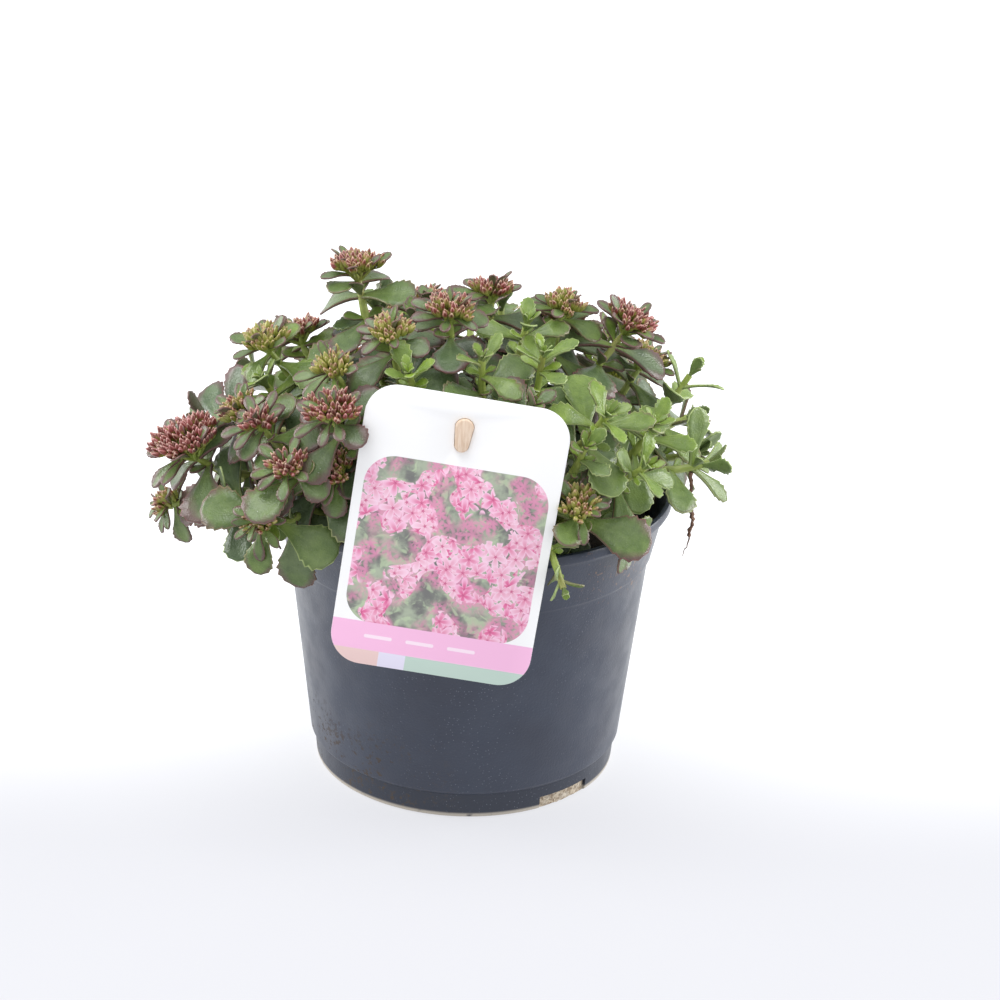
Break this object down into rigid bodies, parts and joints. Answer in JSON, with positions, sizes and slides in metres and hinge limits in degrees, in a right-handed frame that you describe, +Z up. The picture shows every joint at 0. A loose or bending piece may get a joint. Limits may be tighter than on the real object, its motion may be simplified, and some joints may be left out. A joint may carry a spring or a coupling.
{
  "type": "potted two-row stonecrop",
  "caption": "Low mounded succulent with toothed leaves and domed bud heads, growing in a round tapered nursery pot with a plant label on a stick.",
  "frame": {"origin": "middle of the pot's flat underside, on the surface it stands on", "axes": "+Z up along the pot's axis, -Y towards the side that carries the label, +X to the right seen from that side"},
  "size_m": [0.182, 0.1657, 0.1705],
  "materials": {
    "pot_plastic": "satin moulded plastic, slate blue-grey",
    "potting_soil": "matt fibrous peat",
    "label_card": "printed white plastic card",
    "stick_wood": "bare pale wood",
    "foliage": "fleshy leaf, soft satin",
    "flower_buds": "closed fleshy buds, satin",
    "root": "dry dark root"
  },
  "bodies": {
    "root": {"air_root": "root", "bud_head_01": "flower_buds", "bud_head_02": "flower_buds", "bud_head_03": "flower_buds", "bud_head_05": "flower_buds", "bud_head_07": "flower_buds", "bud_head_08": "flower_buds", "bud_head_09": "flower_buds", "bud_head_10": "flower_buds", "bud_head_11": "flower_buds", "bud_head_12": "flower_buds", "bud_head_14": "flower_buds", "bud_head_15": "flower_buds", "bud_head_16": "flower_buds", "bud_head_17": "flower_buds", "bud_head_18": "flower_buds", "bud_head_19": "flower_buds", "bud_head_27": "flower_buds", "bud_head_39": "flower_buds", "bud_head_42": "flower_buds", "bud_head_43": "flower_buds", "bud_head_47": "flower_buds", "bud_head_48": "flower_buds", "bud_head_51": "flower_buds", "bud_head_53": "flower_buds", "bud_head_55": "flower_buds", "label": "label_card", "label_stick": "stick_wood", "leafy_stem_01": "foliage", "leafy_stem_02": "foliage", "leafy_stem_03": "foliage", "leafy_stem_04": "foliage", "leafy_stem_05": "foliage", "leafy_stem_06": "foliage", "leafy_stem_07": "foliage", "leafy_stem_08": "foliage", "leafy_stem_09": "foliage", "leafy_stem_10": "foliage", "leafy_stem_11": "foliage", "leafy_stem_12": "foliage", "leafy_stem_13": "foliage", "leafy_stem_14": "foliage", "leafy_stem_15": "foliage", "leafy_stem_16": "foliage", "leafy_stem_17": "foliage", "leafy_stem_18": "foliage", "leafy_stem_19": "foliage", "leafy_stem_20": "foliage", "leafy_stem_21": "foliage", "leafy_stem_22": "foliage", "leafy_stem_23": "foliage", "leafy_stem_24": "foliage", "leafy_stem_25": "foliage", "leafy_stem_26": "foliage", "leafy_stem_27": "foliage", "leafy_stem_28": "foliage", "pot": "pot_plastic", "soil": "potting_soil"}
  },
  "joints": []
}
